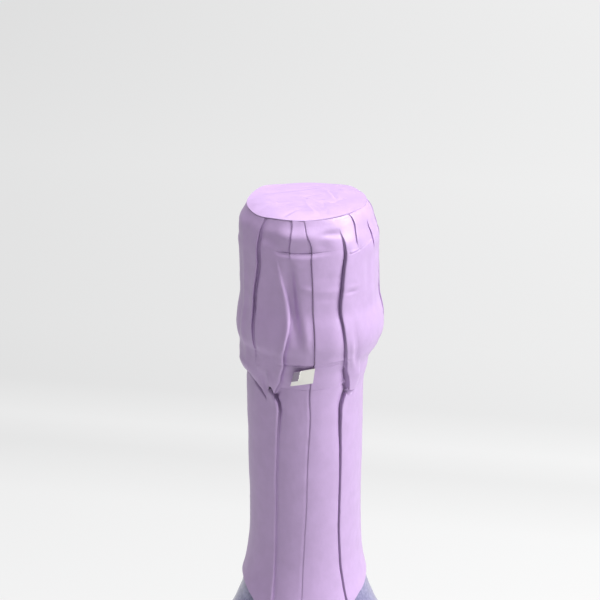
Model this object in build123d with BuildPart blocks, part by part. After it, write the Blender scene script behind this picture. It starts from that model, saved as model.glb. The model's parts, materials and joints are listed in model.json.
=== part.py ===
from build123d import *
import os
from math import acos, asin, atan2, ceil, cos, degrees, radians, sin, tan

# A champagne bottle as it leaves the cellar: glass, wine, cork, wire cage with its cap plate,
# and a lilac foil capsule with a tear strip.
# The frame's origin is the centre of the standing ring, +Z is up, the foil's seam and
# tear tab face -Y and the cage's folded wire loop lies at +X. Lengths are in millimetres.

# Bottle
glass_height = 300.0
body_diameter = 88.2
wall = 5.2
heel_radius = 10.5
stand_ring_width = 2.4
punt_depth = 44.0
punt_crown_radius = 19.0
base_thickness = 6.5
inner_heel_radius = 9.0
shoulder_radius = 160.0
neck_sweep_radius = 60.0
neck_radius = 14.5
neck_sweep_drop = 68.0

# Mouth of the bottle: drops below the lip, and steps out from or in to the neck
bore_radius = 8.75
bore_length = 30.0
bore_edge_radius = 1.0
crown_step_in = 0.2
crown_edge_radius = 2.2
crown_drop = 6.6
groove_step_in = 1.0
groove_top_drop = 7.5
groove_low_drop = 8.7
collar_step_out = 1.7
collar_top_drop = 9.5
collar_low_drop = 14.0
collar_base_drop = 15.5
collar_edge_radius = 0.6

# Wine
fill_drop = 71.0
wine_gap = 0.1

# Cork
cork_insert = 24.0
cork_head_height = 23.6
cork_head_radius = 15.4
cork_foot_radius = 12.0
cork_flare = 4.6
cork_disc_thickness = 6.0
cork_fit = 0.05
cork_edge = 0.4
cork_ledge_depth = 2.2
cork_foot_rounding = 1.4
cork_head_rounding = 3.0
cork_ledge_rounding = 1.4

# Cap plate
plate_radius = 13.2
plate_thickness = 0.4
plate_rim_depth = 2.1
plate_rim_gap = 0.4
plate_bend_radius = 0.9

# Wire cage
wire_diameter = 0.9
wire_gap = 0.2
thread_gap = 0.1
twist_pitch = 7.6
leg_count = 4
leg_bend_radius = 2.6
leg_foot_bend_radius = 1.6
eyelet_drop = 17.1
belt_neck_gap = 0.2

# Wire loop, folded up against the collar
loop_hinge_drop = 14.8
loop_length = 11.0
loop_width = 9.4
loop_stem = 2.6
loop_foot_radius = 0.9
loop_side_radius = 2.2
loop_crown_radius = 3.9
loop_stem_gap = 0.1

# Foil capsule
foil_thickness = 0.3
foil_seat_gap = 0.1
top_disc_radius = 15.8
hood_rim_radius = 14.2
hood_mouth_gap = 0.1
hood_mouth_drop = 16.0
hood_bulge = 1.25
hood_pleat_height = 0.55
pocket_depth = 1.6
strip_width = 7.2
neck_foil_slack = 0.75
neck_foil_gather = 14.0
neck_foil_flare = 2.2
neck_foil_length = 58.8
neck_foil_dip = 6.0
neck_pleat_height = 0.3
neck_pleat_width = 1.1
glue_gap = 0.1

# Tear tab, the bare end of the tear strip folded back on itself
tab_width = 6.0
tab_height = 5.2
tab_thickness = 0.25
tab_gap = 0.15
tab_shift = -1.2
tab_tilt = 12.0
tab_corner_radius = 0.5

# One overrun serves every cut
overrun = 2.0

# Straight steps that each round stretch is made in
sweep_steps = 6
shoulder_steps = 9
heel_steps = 5
punt_steps = 4
ease_steps = 2
twist_steps = 8
ring_steps = 40
eyelet_steps = 10
loop_steps = 44
hood_facets = 72

# Hood outline: how far up the hood, and how much of the bulge, for the upright wall
hood_wall_shares = [
    (0.0, 0.0), (0.06, 0.25), (0.135, 0.9), (0.22, 1.0), (0.305, 0.95),
    (0.40, 0.5), (0.62, 0.25), (0.84, 0.15),
]
# Then, how far up, and how much of the step from the top disc out to the wall
hood_shoulder_shares = [(0.93, 0.80), (0.98, 0.38), (1.0, 0.02)]
# Pleats gathered over the cage legs and between them: bearing in degrees, height share
hood_pleat_shares = [
    (-135, 1.0), (-110, 0.45), (-90, 0.7), (-75, 0.35), (-45, 1.0), (-30, 0.4),
    (20, 0.5), (45, 1.0), (70, 0.4), (100, 0.55), (135, 1.0), (160, 0.5), (-165, 0.45),
]
# How far up the hood its pleats start to fade
pleat_fade_share = 0.84
# Pleats of the neck foil: bearing in degrees, height share
neck_pleat_shares = [(-121, 1.3), (31, 1.0), (98, 1.0), (171, 1.0)]
# Its overlap: the bearing of its edge in degrees, how far it laps round, and its height share
lap_bearing = -90
lap_turn = 36
lap_height_share = 0.8
# Reach of the loop's pocket to each side of +X in degrees: full depth, then faded out
pocket_full_turn = 17
pocket_end_turn = 30
pocket_top_share = 0.36
# Where the loop is first at its full width, above its stem
loop_flare_share = 0.62
# Outline of one wire, as shares of its diameter
wire_shares = [
    (0.5, 0.0), (0.25, 0.43), (-0.25, 0.43), (-0.5, 0.0), (-0.25, -0.43), (0.25, -0.43),
]
# Outline of one twisted pair of wires, as shares of one wire's diameter
pair_shares = [
    (0.86, 0.42), (0.0, 0.17), (-0.86, 0.42), (-0.86, -0.42), (0.0, -0.17), (0.86, -0.42),
]

# Heights and radii that follow from the sizes above
body_radius = body_diameter / 2
wire_radius = wire_diameter / 2
lip_z = glass_height
crown_radius = neck_radius - crown_step_in
groove_radius = neck_radius - groove_step_in
collar_radius = neck_radius + collar_step_out
sweep_z = lip_z - neck_sweep_drop
collar_top_z = lip_z - collar_top_drop
collar_low_z = lip_z - collar_low_drop
bore_low_z = lip_z - bore_length
fill_z = lip_z - fill_drop
stand_radius = body_radius - heel_radius - stand_ring_width
sweep_x = neck_radius + neck_sweep_radius
shoulder_x = body_radius - shoulder_radius
shoulder_rise = (
    (neck_sweep_radius + shoulder_radius) ** 2 - (sweep_x - shoulder_x) ** 2
) ** 0.5
body_top_z = sweep_z - shoulder_rise
shoulder_turn = degrees(atan2(shoulder_rise, sweep_x - shoulder_x))
cork_top_z = lip_z + cork_head_height
cork_ledge_z = cork_top_z - cork_ledge_depth
plate_top_z = cork_top_z + plate_thickness
plateau_radius = plate_radius - plate_thickness - plate_rim_gap
pair_radius = wire_diameter
leg_cork_radius = cork_head_radius + wire_gap + pair_radius
leg_collar_radius = collar_radius + wire_gap + pair_radius
eyelet_radius = wire_radius + thread_gap + wire_radius
eyelet_z = lip_z - eyelet_drop
belt_radius = neck_radius + belt_neck_gap + eyelet_radius + wire_radius
ring_radius = plate_radius + thread_gap + wire_radius
ring_z = cork_ledge_z + thread_gap + wire_radius
loop_hinge_z = lip_z - loop_hinge_drop
hood_base_z = lip_z - hood_mouth_drop
hood_inner_top_z = plate_top_z + foil_seat_gap
hood_top_z = hood_inner_top_z + foil_thickness
hood_mouth_radius = leg_collar_radius + pair_radius + hood_mouth_gap + foil_thickness
strip_base_z = hood_base_z - strip_width
neck_foil_radius = neck_radius + glue_gap + foil_thickness
strip_base_radius = neck_foil_radius + neck_foil_slack + foil_thickness
edge_z = strip_base_z - neck_foil_length
dip_z = edge_z - neck_foil_dip
dip_radius = sweep_x - (neck_sweep_radius**2 - (sweep_z - dip_z) ** 2) ** 0.5


def arc_points(centre, radius, start, turn, steps):
    """Points along an arc, both of its ends among them."""
    bearings = [radians(start + turn * step / steps) for step in range(steps + 1)]
    return [(centre[0] + radius * cos(b), centre[1] + radius * sin(b)) for b in bearings]


def eased(points, radii):
    """An outline with its inner corners rounded, each by its own radius, or kept sharp by 0."""
    outline = [points[0]]
    for before, sharp, after, radius in zip(points, points[1:], points[2:], radii):
        if radius == 0:
            outline.append(sharp)
            continue
        corner = Vector(*sharp)
        back = (Vector(*before) - corner).normalized()
        onward = (Vector(*after) - corner).normalized()
        half = radians(back.get_angle(onward)) / 2
        centre = corner + (back + onward).normalized() * (radius / sin(half))
        first = corner + back * (radius / tan(half)) - centre
        last = corner + onward * (radius / tan(half)) - centre
        turn = first.get_signed_angle(last, Vector(0, 0, 1))
        for step in range(ease_steps + 1):
            point = centre + first.rotate(Axis.Z, turn * step / ease_steps)
            outline.append((point.X, point.Y))
    return outline + [points[-1]]


def shoulder_points(inset):
    """Neck sweep and shoulder from the neck down, set inwards from the glass's outer face."""
    sweep = arc_points(
        (sweep_x, sweep_z), neck_sweep_radius + inset, 180, shoulder_turn, sweep_steps
    )
    shoulder = arc_points(
        (shoulder_x, body_top_z), shoulder_radius - inset, shoulder_turn, -shoulder_turn,
        shoulder_steps,
    )
    return sweep + shoulder[1:]


def punt_points(foot_radius, foot_z, top_z):
    """The punt: a steep cone from its foot, then a round crown up to the axis."""
    crown_z = top_z - punt_crown_radius
    reach = (foot_radius**2 + (crown_z - foot_z) ** 2) ** 0.5
    start = degrees(acos(punt_crown_radius / reach) - atan2(crown_z - foot_z, foot_radius))
    crown = arc_points((0, crown_z), punt_crown_radius, start, 90 - start, punt_steps)
    return [(foot_radius, foot_z)] + crown


def cavity_points(gap):
    """The inside of the glass below its bore, from the neck to the crown of the punt."""
    inset = wall + gap
    foot_radius = body_radius - wall - inner_heel_radius
    floor_z = base_thickness + gap
    heel = arc_points(
        (foot_radius, base_thickness + inner_heel_radius), inner_heel_radius - gap, 0, -90,
        heel_steps,
    )
    bore = [(bore_radius - gap, bore_low_z)]
    return (
        bore + shoulder_points(inset) + heel + punt_points(foot_radius, floor_z, punt_depth + floor_z)
    )


# Glass bottle: one wall, revolved, with the punt, the sloping shoulder and the collar
heel_points = arc_points(
    (body_radius - heel_radius, heel_radius), heel_radius, -90, 90, heel_steps
)
finish_points = eased(
    [
        (neck_radius, lip_z - collar_base_drop),
        (collar_radius, collar_low_z),
        (collar_radius, collar_top_z),
        (groove_radius, lip_z - groove_low_drop),
        (groove_radius, lip_z - groove_top_drop),
        (crown_radius, lip_z - crown_drop),
        (crown_radius, lip_z),
        (bore_radius, lip_z),
        (bore_radius, bore_low_z),
    ],
    [collar_edge_radius, collar_edge_radius, 0, 0, 0, crown_edge_radius, bore_edge_radius],
)
with BuildPart() as glass_bottle:
    with BuildSketch(Plane.XZ):
        Polygon(
            *punt_points(stand_radius, 0, punt_depth)[::-1],
            *heel_points,
            *shoulder_points(0)[::-1],
            *finish_points,
            *cavity_points(0)[1:],
            align=None,
        )
    revolve(axis=Axis.Z)
glass_bottle.part.label = "glass_bottle"

# Wine, up to its level in the lower neck
with BuildPart() as wine:
    with BuildSketch(Plane.XZ):
        Polygon(*cavity_points(wine_gap), (0, bore_low_z), align=None)
    revolve(axis=Axis.Z)
    split(bisect_by=Plane.XY.offset(fill_z), keep=Keep.BOTTOM)
wine.part.label = "wine"

# Cork: an agglomerate body with a mushroom head, and two natural discs on the wine side
cork_radius = bore_radius - cork_fit
cork_base_z = lip_z - cork_insert
cork_joint_z = cork_base_z + 2 * cork_disc_thickness
with BuildPart() as cork_body:
    with BuildSketch(Plane.XZ):
        Polygon(
            *eased(
                [
                    (0, cork_joint_z),
                    (cork_radius, cork_joint_z),
                    (cork_radius, lip_z),
                    (cork_foot_radius, lip_z),
                    (cork_head_radius, lip_z + cork_flare),
                    (cork_head_radius, cork_ledge_z),
                    (plateau_radius, cork_ledge_z),
                    (plateau_radius, cork_top_z),
                    (0, cork_top_z),
                ],
                [
                    0, 0, cork_foot_rounding, cork_head_rounding,
                    cork_ledge_rounding, 0, cork_edge,
                ],
            ),
            align=None,
        )
    revolve(axis=Axis.Z)
cork_body.part.label = "cork_body"

with BuildPart() as cork_disc_upper:
    with BuildSketch(Plane.XY.offset(cork_base_z + cork_disc_thickness)):
        Circle(cork_radius)
    extrude(amount=cork_disc_thickness)
cork_disc_upper.part.label = "cork_disc_upper"

with BuildPart() as cork_disc_lower:
    with BuildSketch(Plane.XY.offset(cork_base_z)):
        Circle(cork_radius)
    extrude(amount=cork_disc_thickness)
    chamfer(cork_disc_lower.edges().sort_by(Axis.Z)[0], length=cork_edge)
cork_disc_lower.part.label = "cork_disc_lower"

# Cap plate: a tinplate cap with its rim turned down round the head of the cork
with BuildPart() as cap_plate:
    with BuildSketch(Plane.XZ):
        Polygon(
            *eased(
                [
                    (0, plate_top_z),
                    (plate_radius, plate_top_z),
                    (plate_radius, plate_top_z - plate_rim_depth),
                    (plate_radius - plate_thickness, plate_top_z - plate_rim_depth),
                    (plate_radius - plate_thickness, cork_top_z),
                    (0, cork_top_z),
                ],
                [plate_bend_radius, 0, 0, plate_bend_radius - plate_thickness],
            ),
            align=None,
        )
    revolve(axis=Axis.Z)
cap_plate.part.label = "cap_plate"


def faceted(rings, closed=False):
    """A solid of flat facets over rings of points, capped at its ends or closed on itself."""
    faces = []
    following = rings[1:] + rings[:1] if closed else rings[1:]
    for lower, upper in zip(rings, following):
        for side in range(len(lower)):
            faces.append(Face(Wire.make_polygon([lower[side - 1], lower[side], upper[side]])))
            faces.append(Face(Wire.make_polygon([lower[side - 1], upper[side], upper[side - 1]])))
    if not closed:
        faces.append(Face(Wire.make_polygon(rings[0])))
        faces.append(Face(Wire.make_polygon(rings[-1])))
    return Solid(Shell(faces))


def wire_form(path, normal, shares, steps, turns=0, closed=False):
    """A wire, or a pair that twists as it goes, along a flat path with this normal."""
    rings = []
    for step in range(steps if closed else steps + 1):
        place = step / steps
        twist = radians(360 * turns * place)
        side = normal.cross(path % place)
        across = normal * cos(twist) + side * sin(twist)
        upward = side * cos(twist) - normal * sin(twist)
        rings.append(
            [path @ place + (across * x + upward * y) * wire_diameter for x, y in shares]
        )
    return faceted(rings, closed)


def twisted_pair(path):
    """Two wires twisted together along a path in the XZ plane."""
    turns = path.length / twist_pitch
    return wire_form(path, Vector(0, 1, 0), pair_shares, ceil(turns * twist_steps), turns)


def wire_ring(radius, steps):
    """A ring of wire round the Z axis."""
    circle = Wire.make_circle(radius)
    return wire_form(circle, Vector(0, 0, 1), wire_shares, steps, closed=True)


# One cage leg: out from the top ring, over the cork, down past the collar, into its eyelet
leg_top_z = cork_ledge_z + thread_gap + pair_radius
with BuildLine(Plane.XZ) as leg_path:
    FilletPolyline(
        (ring_radius, leg_top_z),
        (leg_cork_radius, leg_top_z),
        (leg_cork_radius, lip_z + cork_flare / 2),
        (leg_collar_radius, collar_top_z + wire_diameter),
        (leg_collar_radius, collar_low_z),
        (belt_radius + eyelet_radius / 2, eyelet_z + eyelet_radius),
        radius=[leg_bend_radius] * 3 + [leg_foot_bend_radius],
    )
with BuildPart() as cage_leg:
    add(twisted_pair(leg_path.wire()))
    with Locations(Location((belt_radius, 0, eyelet_z), (90, 0, 0))):
        add(wire_ring(eyelet_radius, eyelet_steps))

# Cage frame: the ring round the cap plate and its four legs
with BuildPart() as cage_frame:
    with Locations((0, 0, ring_z)):
        add(wire_ring(ring_radius, ring_steps))
    with PolarLocations(0, leg_count, start_angle=180 / leg_count):
        add(cage_leg.part)
cage_frame.part.label = "cage_frame"

# Belt wire: threaded through the eyelets below the collar, its ends twisted together at +X
with BuildLine(Plane.XZ) as belt_stem_path:
    Line((belt_radius, eyelet_z), (leg_collar_radius, loop_hinge_z - loop_stem_gap))
with BuildPart() as belt_wire:
    with Locations((0, 0, eyelet_z)):
        add(wire_ring(belt_radius, ring_steps))
    add(twisted_pair(belt_stem_path.wire()))
belt_wire.part.label = "belt_wire"

# Wire loop: the end of the belt that fingers pull down and untwist
loop_bend = loop_width / 2 - wire_radius
loop_top_z = loop_hinge_z + loop_length
loop_stem_z = loop_hinge_z + loop_stem
with BuildLine(Plane.XZ) as loop_stem_path:
    Line((leg_collar_radius, loop_hinge_z), (leg_collar_radius, loop_stem_z))
with BuildLine(Plane.YZ.offset(leg_collar_radius)) as loop_path:
    FilletPolyline(
        (0, loop_stem_z - wire_radius),
        (loop_bend, loop_stem_z + loop_bend * loop_flare_share),
        (loop_bend, loop_top_z - wire_radius),
        (-loop_bend, loop_top_z - wire_radius),
        (-loop_bend, loop_stem_z + loop_bend * loop_flare_share),
        radius=[loop_foot_radius, loop_side_radius] + [loop_crown_radius] * 2 + [loop_side_radius],
        close=True,
    )
with BuildPart() as wire_loop:
    add(twisted_pair(loop_stem_path.wire()))
    add(wire_form(loop_path.wire(), Vector(1, 0, 0), wire_shares, loop_steps, closed=True))
wire_loop.part.label = "wire_loop"


def pleat_height(bearing):
    """How far the pleats stand out at a bearing; each falls off within one facet."""
    facet = 360 / hood_facets
    for pleat_bearing, height_share in hood_pleat_shares:
        if abs((bearing - pleat_bearing + 180) % 360 - 180) < facet / 2:
            return hood_pleat_height * height_share
    return 0


def pocket_share(bearing):
    """1 over the wire loop, fading to 0 beside it."""
    off = abs((bearing + 180) % 360 - 180)
    return min(1, max(0, (pocket_end_turn - off) / (pocket_end_turn - pocket_full_turn)))


def foil_ring(height, radius, up, inset):
    """One level of the hood: a ring of points with its pleats and the loop's pocket."""
    points = []
    for facet in range(hood_facets):
        bearing = 360 * facet / hood_facets
        pleat = pleat_height(bearing) * min(1, (1 - up) / (1 - pleat_fade_share))
        pocket = max(0, hood_mouth_radius + pocket_depth - radius) * pocket_share(bearing)
        reach = radius - inset + pleat
        if up < pocket_top_share:
            reach += pocket
        points.append(Vector(reach * cos(radians(bearing)), reach * sin(radians(bearing)), height))
    return points


def hood_form(inset):
    """The hood's outline through its levels, set inwards by the foil's thickness."""
    top_z = hood_top_z - inset
    height = top_z - hood_base_z
    levels = [(up, hood_mouth_radius + hood_bulge * share) for up, share in hood_wall_shares]
    shoulder = hood_mouth_radius - top_disc_radius
    levels += [(up, top_disc_radius + shoulder * share) for up, share in hood_shoulder_shares]
    return faceted([foil_ring(hood_base_z + height * up, radius, up, inset) for up, radius in levels])


# Foil hood: the part of the capsule above the tear strip, open below and pleated
with BuildPart() as foil_hood:
    add(hood_form(0))
    add(hood_form(foil_thickness), mode=Mode.SUBTRACT)
    with BuildSketch(Plane.XY.offset(hood_top_z + overrun)):
        Circle(hood_rim_radius)
    extrude(amount=-foil_thickness - 2 * overrun, mode=Mode.SUBTRACT)
foil_hood.part.label = "foil_hood"

# Top disc of the capsule, glued on the hood's turned-in rim
with BuildPart() as foil_top_disc:
    with BuildSketch(Plane.XY.offset(hood_top_z)):
        Circle(top_disc_radius)
    extrude(amount=foil_thickness)
foil_top_disc.part.label = "foil_top_disc"

# Tear strip: the band below the collar that is pulled off to free the hood
with BuildPart() as tear_strip:
    with BuildSketch(Plane.XZ):
        Polygon(
            (strip_base_radius - foil_thickness, strip_base_z),
            (strip_base_radius, strip_base_z),
            (hood_mouth_radius, hood_base_z),
            (hood_mouth_radius - foil_thickness, hood_base_z),
            align=None,
        )
    revolve(axis=Axis.Z)
tear_strip.part.label = "tear_strip"

# Tear tab: lies on the strip's front, a little askew
strip_lean = atan2(hood_mouth_radius - strip_base_radius, strip_width)
tab_outward = Vector(0, -cos(strip_lean), -sin(strip_lean))
tab_upward = Vector(0, -sin(strip_lean), cos(strip_lean))
tab_across = Vector(cos(radians(tab_tilt)), 0, 0) + tab_upward * sin(radians(tab_tilt))
strip_middle = Vector(
    tab_shift, -(strip_base_radius + hood_mouth_radius) / 2, (strip_base_z + hood_base_z) / 2
)
tab_plane = Plane(origin=strip_middle + tab_outward * tab_gap, x_dir=tab_across, z_dir=tab_outward)
with BuildPart() as tear_tab:
    with BuildSketch(tab_plane):
        RectangleRounded(tab_width, tab_height, tab_corner_radius)
    extrude(amount=tab_thickness)
tear_tab.part.label = "tear_tab"


def neck_foil_points(grow, spare_steps):
    """The neck foil's upright outline, off the glass by the glue line and what it has grown."""
    off_glass = glue_gap + grow
    radius = neck_radius + off_glass
    step_turn = shoulder_turn / sweep_steps
    reach = degrees(asin((sweep_z - dip_z + overrun) / neck_sweep_radius))
    steps = ceil(reach / step_turn) + spare_steps
    sweep = arc_points(
        (sweep_x, sweep_z), neck_sweep_radius - off_glass, 180 + step_turn * steps,
        -step_turn * steps, steps,
    )
    return sweep + [
        (radius + neck_foil_slack, strip_base_z - neck_foil_gather),
        (radius + neck_foil_slack, strip_base_z - neck_foil_flare),
        (radius + neck_foil_slack + foil_thickness, strip_base_z),
    ]


def neck_foil_layer(bearing, inner_grow, outer_grow, spare_steps=0):
    """The upright section of one layer of the neck foil, at a bearing."""
    inner = neck_foil_points(inner_grow, spare_steps)
    outer = neck_foil_points(outer_grow, spare_steps)
    outward = Vector(cos(radians(bearing)), sin(radians(bearing)), 0)
    upright = Plane(origin=(0, 0, 0), x_dir=outward, z_dir=outward.cross(Vector(0, 0, 1)))
    with BuildSketch(upright) as layer:
        Polygon(*inner, *outer[::-1], align=None)
    return layer.sketch


# Neck foil: wraps the neck below the tear strip, with its overlap seam in front and its pleats
with BuildPart() as neck_foil:
    revolve(neck_foil_layer(0, 0, foil_thickness, spare_steps=1), axis=Axis.Z)
    lap_height = foil_thickness + neck_pleat_height * lap_height_share
    lap = neck_foil_layer(lap_bearing, foil_thickness / 2, lap_height)
    revolve(lap, axis=Axis.Z, revolution_arc=lap_turn)
    for bearing, height_share in neck_pleat_shares:
        ridge = foil_thickness + neck_pleat_height * height_share
        pleat = neck_foil_layer(bearing, foil_thickness / 2, ridge)
        extrude(pleat, amount=neck_pleat_width / 2, both=True)
    with BuildSketch(Plane.YZ):
        Polygon(
            (body_radius, edge_z),
            (0, edge_z),
            (-body_radius, edge_z - neck_foil_dip * body_radius / dip_radius),
            (-body_radius, dip_z - neck_foil_length),
            (body_radius, dip_z - neck_foil_length),
            align=None,
        )
    extrude(amount=body_radius, both=True, mode=Mode.SUBTRACT)
neck_foil.part.label = "neck_foil"

os.makedirs("parts", exist_ok=True)
nodes = [
    glass_bottle, wine, cork_body, cork_disc_upper, cork_disc_lower, cap_plate, cage_frame,
    belt_wire, wire_loop, foil_hood, foil_top_disc, tear_strip, tear_tab, neck_foil,
]
for node in nodes:
    export_step(node.part, f"parts/{node.part.label}.step")

tab_hinge = tab_plane.origin + tab_plane.x_dir * (tab_width / 2)
print("Tab hinge at", tab_hinge, "along", tab_plane.y_dir)
print("Foil top at", hood_top_z + foil_thickness, "loop hinge at", leg_collar_radius, loop_hinge_z)
print("Straight body from", heel_radius, "to", body_top_z, "standing ring from", stand_radius)
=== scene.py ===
import json
from math import cos, pi, radians, sin

import bpy
import numpy as np
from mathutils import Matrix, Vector
from mathutils.bvhtree import BVHTree


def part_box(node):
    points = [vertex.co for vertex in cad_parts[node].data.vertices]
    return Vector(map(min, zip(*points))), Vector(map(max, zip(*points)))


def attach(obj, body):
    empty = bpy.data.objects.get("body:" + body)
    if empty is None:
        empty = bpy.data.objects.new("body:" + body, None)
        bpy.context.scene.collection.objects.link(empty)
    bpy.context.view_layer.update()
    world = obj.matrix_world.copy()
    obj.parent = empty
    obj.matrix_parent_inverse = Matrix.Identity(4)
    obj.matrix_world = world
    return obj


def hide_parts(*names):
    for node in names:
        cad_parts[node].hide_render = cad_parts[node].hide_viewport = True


# The looks of a champagne bottle: its lilac foil capsule, tear tab, coated glass, cork and cage.
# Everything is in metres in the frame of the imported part; tables are in millimetres and degrees.
# A bearing is counted about the bottle's axis from +X; the foil's seam faces -Y, at -90.

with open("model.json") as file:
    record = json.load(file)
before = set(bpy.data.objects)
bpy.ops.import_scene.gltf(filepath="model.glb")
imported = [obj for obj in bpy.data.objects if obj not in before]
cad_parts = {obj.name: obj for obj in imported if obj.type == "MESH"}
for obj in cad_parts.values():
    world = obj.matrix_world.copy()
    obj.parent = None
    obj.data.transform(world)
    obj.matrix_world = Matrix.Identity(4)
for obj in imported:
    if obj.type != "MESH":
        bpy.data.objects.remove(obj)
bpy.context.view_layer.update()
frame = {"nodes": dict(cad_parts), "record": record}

MM = 0.001

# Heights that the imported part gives
hood_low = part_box("foil_hood")[0][2] / MM
disc_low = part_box("foil_top_disc")[0][2] / MM
disc_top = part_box("foil_top_disc")[1][2] / MM

# Foil sheet: its thickness and the room it keeps to what is under it
foil_thickness = 0.16
clearance = 0.07
# Its columns, ordered at the cage's belt and crowded at the folds, and its rows
belt_height = 283.0
columns_between_folds = 24
crowding = 2.3
column_gap = 0.0006
row_step = 0.3
# Its crumples: seed, size and height of each, and how their waves run
crumples = [(5, 9, 0.07), (8, 4, 0.03)]
crumple_waves = 14
crumple_stretch = 2.5
crest_softness = 0.8
foil_girth = 110
# A lap's edge, a little lower than the foil behind it, leans over its foot
edge_drop = 0.25
edge_reach = 0.12
overhang = 0.42
overhang_reach = 0.6
# The inside is tucked behind that edge by no more than this
behind_most = 0.27
behind_reach = 0.25
# Painted shade in the creases: how dark it makes the colour, the step and the slit's depth at full
# darkness, and where a lap's foot is
crease_shade = 0.8
dark_step = 0.6
dark_slit = 0.5
foot_offset = 0.1
foot_reach = 0.22
# A level crease: reach of the raised foil above, and of the foil and the slit below
level_reach_up = 1.4
level_depth = 0.7
level_reach_down = 0.8
level_slit_drop = 0.3
level_slit_reach = 0.2

# Upright outline of the foil: height, radius to the left (-X), radius to the right (+X)
foil_outline = [
    (204.0, 20.7, 20.9), (206.9, 20.0, 20.2), (209.4, 19.5, 19.3), (211.9, 19.0, 18.75),
    (214.4, 18.5, 18.15), (216.9, 17.8, 17.35), (219.4, 17.05, 16.75), (224.0, 16.15, 15.9),
    (229.0, 15.55, 15.6), (236.6, 15.35, 15.4), (243.8, 15.4, 15.4), (248.6, 15.6, 15.5),
    (258.1, 15.65, 15.65), (267.6, 15.9, 15.7), (274.6, 15.95, 15.85), (276.9, 16.0, 16.2),
    (279.2, 16.7, 16.75), (281.5, 17.55, 17.1), (283.8, 17.75, 18.4), (285.0, 17.7, 19.3),
    (286.6, 17.8, 20.0), (288.4, 18.3, 20.75), (293.0, 18.4, 20.9), (295.3, 18.05, 20.45),
    (297.8, 17.6, 19.75), (304.0, 17.5, 19.5), (310.0, 17.6, 19.5), (316.0, 17.85, 19.35),
    (317.7, 17.7, 19.0), (319.9, 17.2, 18.15), (322.1, 16.2, 17.4), (323.4, 15.6, 16.75),
    (324.4, 15.0, 15.9),
]

# Lines that the foil's folds follow from the top down: height, bearing
fold_lines = {
    "far_left": [
        (324.4, -160), (316, -158.5), (300, -158), (288, -157), (282, -154), (274, -152),
        (240, -150), (206, -150),
    ],
    "left_deep": [
        (324.4, -131.5), (322.3, -132.8), (317.2, -135.0), (311.1, -136.0), (300.2, -141.8),
        (289.2, -139.8), (283, -138.0), (274, -137), (240, -137), (206, -136),
    ],
    "left_ridge": [
        (324.4, -119), (316, -117.5), (313.7, -116.1), (307.9, -112.4), (302.6, -108.0),
        (296.0, -106.2), (290.2, -109.4), (286.5, -111.8), (283.1, -110.3), (279.3, -114.0),
        (276.8, -118.0), (275.0, -120.0), (270, -123), (206, -123),
    ],
    "left_valley": [
        (324.4, -104.2), (319.0, -102.9), (315.7, -105.3), (312.9, -104.4), (306.8, -103.4),
        (300.1, -101.5), (293.5, -98.5), (287, -97), (276, -98.5), (252, -101), (232, -103),
        (206, -103.5),
    ],
    "seam": [
        (324.4, -93.8), (321, -91.0), (317.4, -87.4), (313, -87.6), (305.5, -86.9),
        (299, -86.6), (292.6, -86.3), (286, -85.4), (284.3, -84.2), (281.0, -84.3),
        (277.6, -85.4), (268.4, -84.4), (258.0, -86.8), (243.4, -88.3), (229.2, -91.0),
        (212.7, -92.2), (206, -92.4),
    ],
    "right_deep": [
        (324.4, -63.5), (320.8, -61.5), (318.6, -59.5), (314.5, -58.4), (310.5, -60.0),
        (305.1, -61.6), (299.8, -63.2), (295.7, -62.8), (288.1, -60.2), (285, -57.0),
        (283.8, -54.2), (282.6, -51.8), (281, -49.5), (279, -48.0), (277.5, -46.8),
        (276, -46.2), (206, -46.2),
    ],
    "ear_gap": [(324.4, -127), (290, -127.5), (280, -126.6), (276, -125.6), (206, -125.6)],
    "right_pleat": [
        (324.7, -50.5), (323.6, -46.8), (322.0, -45.2), (317.1, -47.4), (310, -46.5), (300, -43),
        (290, -37), (282, -33.5), (275.9, -31), (270, -33), (240, -36), (206, -36),
    ],
    "far_right": [
        (324.4, -28.0), (320.5, -26.5), (315.4, -25.0), (305, -24), (290, -22), (282, -19),
        (274, -19), (240, -20), (206, -20),
    ],
}
# The same folds where they run on down the neck, under the strip
neck_lines = {
    "left_ridge": [
        (281, -131), (279, -130), (276.6, -126.4), (274.1, -121.3), (272.4, -118.2),
        (270.6, -116.8), (268.3, -117.4), (259.8, -119.4), (243.4, -121.2), (228.5, -121.9),
        (218.4, -120.2), (206, -117.0),
    ],
    "right_deep": [
        (281, -45.5), (276.5, -45.4), (275, -46.0), (273.6, -47.9), (271.7, -50.4),
        (270.5, -51.4), (267.6, -52.0), (258, -51.8), (243, -52.0), (235, -52.8), (230, -52.3),
        (219.8, -50.8), (206, -49.8),
    ],
}
# Folds on the side that the seam doesn't show, one run round the back: bearing at the top, at
# the cage's belt, and down the neck
back_folds = {
    "loop_near": (6, 9, 4),
    "loop_far": (27, 31, 30),
    "back_right": (52, 46, 50),
    "back_right_low": (78, 72, 80),
    "back_middle": (103, 108, 101),
    "back_left": (131, 137, 130),
    "back_left_low": (158, 161, 163),
}
for name, (top, belt, neck) in back_folds.items():
    fold_lines[name] = [
        (324.4, top), (315, top + 1.5), (300, (top + belt) / 2), (286, belt), (276, belt),
        (268, (neck + belt) / 2), (240, neck), (206, neck),
    ]

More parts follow.
